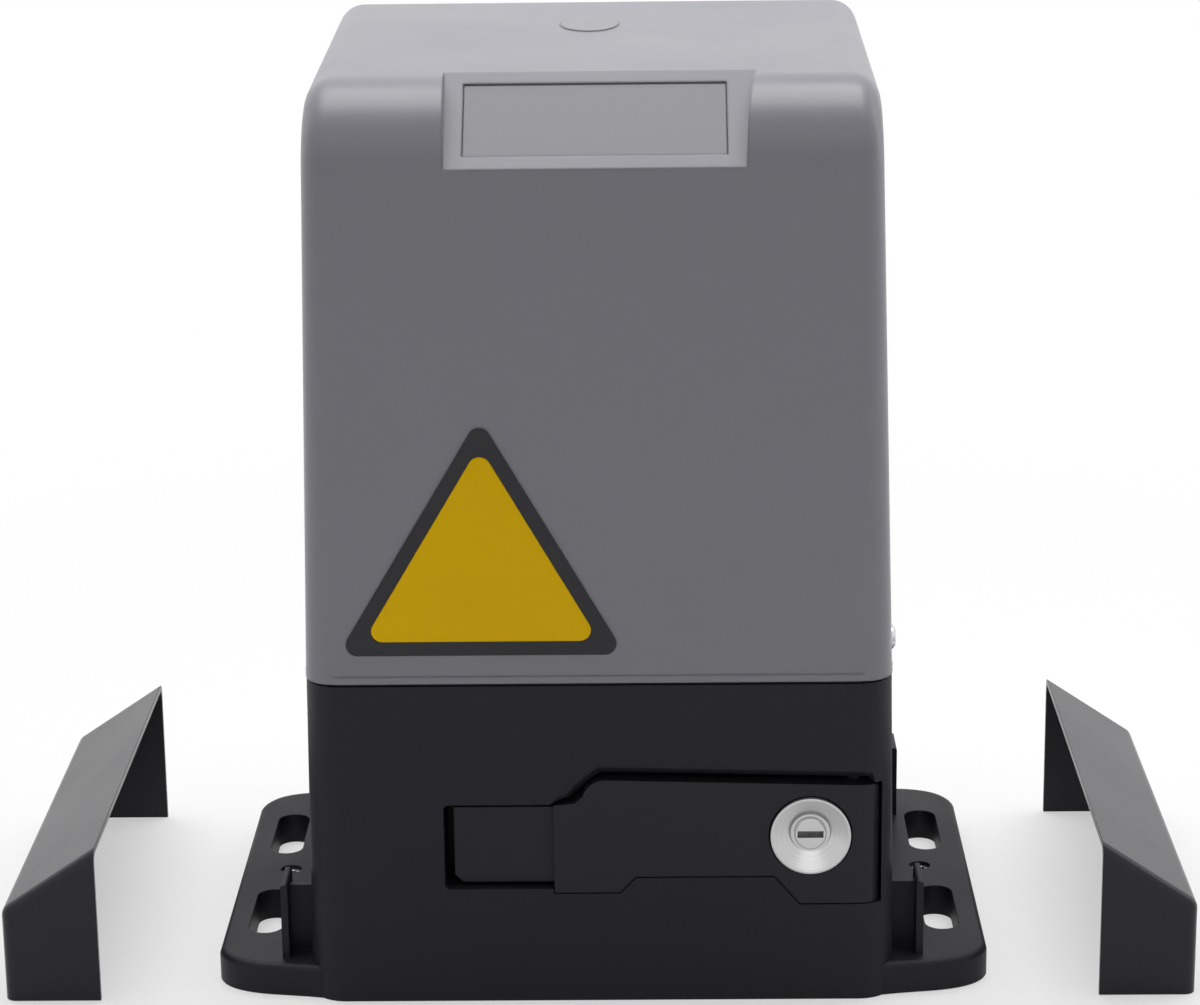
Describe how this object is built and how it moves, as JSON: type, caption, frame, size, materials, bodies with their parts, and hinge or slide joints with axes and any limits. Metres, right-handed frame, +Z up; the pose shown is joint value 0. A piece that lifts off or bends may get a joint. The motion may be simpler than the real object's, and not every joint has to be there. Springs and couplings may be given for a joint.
{
  "type": "sliding gate motor",
  "caption": "Floor-standing sliding gate motor: drafted cover over a dark cast base, keyed release lever, rear drive pinion, slotted mounting wings and loose flange hoods.",
  "frame": {"origin": "centre of the body's underside, on the foundation plate", "axes": "+X along the gate, to the right seen from the lever side; +Y towards the gate, the pinion side; +Z up"},
  "size_m": [0.4285, 0.2218, 0.3354],
  "materials": {
    "base_paint": "dark grey satin paint on a die casting",
    "cover_abs": "silver-grey satin moulding",
    "hood_abs": "dark grey gloss moulding",
    "lever_plastic": "dark grey satin",
    "black_plastic": "satin",
    "black_rubber": "matt",
    "insert_film": "satin film, blank",
    "badge_disc": "satin, blank",
    "plate_black": "satin",
    "plate_yellow": "satin",
    "lock_chrome": "polished",
    "bright_steel": "zinc plated",
    "gear_steel": "machined",
    "bearing_steel": "ground",
    "bronze": "machined",
    "bare_aluminium": "as cast",
    "laminations": "stacked sheet",
    "copper_wire": "varnished winding",
    "coil_tape": "wrapped tape",
    "board_green": "solder resist",
    "terminal_green": "moulded",
    "capacitor_white": "moulded can"
  },
  "bodies": {
    "base": {"base_housing": "base_paint", "base_gasket": "black_rubber", "levelling_screws": "bright_steel", "cable_grommet": "black_rubber", "lever_pin": "bright_steel", "plunger_guide": "bronze", "bearing_front": "bearing_steel", "bearing_rear": "bearing_steel", "oil_seal": "black_rubber", "worm_bearing_low": "bearing_steel", "worm_bearing_high": "bearing_steel", "motor_bearing": "bearing_steel", "gearbox_lid": "bare_aluminium", "lid_screws": "bright_steel", "motor_can": "bare_aluminium", "stator_core": "laminations", "stator_windings": "copper_wire", "motor_end_bell": "bare_aluminium", "deck_tray": "black_plastic", "deck_screws": "bright_steel", "board_carrier": "black_plastic", "control_board": "board_green", "terminal_blocks": "terminal_green", "relays": "black_plastic", "fuse_holder": "black_plastic", "heat_sink": "bare_aluminium", "transformer_core": "laminations", "transformer_coil": "coil_tape", "capacitor": "capacitor_white", "capacitor_clamp": "bright_steel", "limit_sensor": "black_plastic"},
    "cover": {"cover_shell": "cover_abs", "cover_screws": "bright_steel", "panel_insert": "insert_film", "top_badge": "badge_disc", "front_plate": "plate_black", "front_plate_field": "plate_yellow"},
    "hood_right": {"flange_hood_right": "hood_abs"},
    "hood_left": {"flange_hood_left": "hood_abs"},
    "lever": {"release_lever": "lever_plastic", "lock_barrel": "lock_chrome", "lock_nut": "bright_steel"},
    "lock_core": {"lock_plug": "lock_chrome", "lock_cam": "bright_steel", "lock_cam_screw": "bright_steel"},
    "plunger": {"release_plunger": "bright_steel"},
    "output": {"output_shaft": "gear_steel", "drive_pinion": "gear_steel", "pinion_key": "bright_steel", "pinion_screw": "bright_steel", "wheel_key": "bright_steel", "worm_wheel": "bronze"},
    "rotor": {"worm_shaft": "gear_steel", "rotor_core": "laminations", "motor_fan": "black_plastic"}
  },
  "joints": [
    {"name": "cover_lift", "type": "slide", "parent": "base", "child": "cover", "axis": [0, 0, 1], "range_m": [0, 0.22]},
    {"name": "hood_right_fit", "type": "slide", "parent": "base", "child": "hood_right", "axis": [-1, 0, 0], "range_m": [0, 0.0706]},
    {"name": "hood_left_fit", "type": "slide", "parent": "base", "child": "hood_left", "axis": [1, 0, 0], "range_m": [0, 0.0731]},
    {"name": "lever_swing", "type": "hinge", "parent": "base", "child": "lever", "pos_m": [0.09, -0.0815, 0.06], "axis": [0, 0, 1], "range_deg": [0, 75]},
    {"name": "lock_turn", "type": "hinge", "parent": "lever", "child": "lock_core", "pos_m": [0.0745, -0.078, 0.0627], "axis": [0, 1, 0], "range_deg": [0, 90]},
    {"name": "release_push", "type": "slide", "parent": "base", "child": "plunger", "axis": [0, -1, 0], "range_m": [0, 0.006]},
    {"name": "output_turn", "type": "hinge", "parent": "base", "child": "output", "pos_m": [0, 0.108, 0.062], "axis": [0, 1, 0], "continuous": true},
    {"name": "motor_turn", "type": "hinge", "parent": "base", "child": "rotor", "pos_m": [-0.0485, 0.04, 0.15], "axis": [0, 0, 1], "continuous": true}
  ],
  "couplings": [
    {"joint": "release_push", "follows": "lever_swing", "m_per_rad": 0.0045},
    {"joint": "motor_turn", "follows": "output_turn", "ratio": -30}
  ]
}
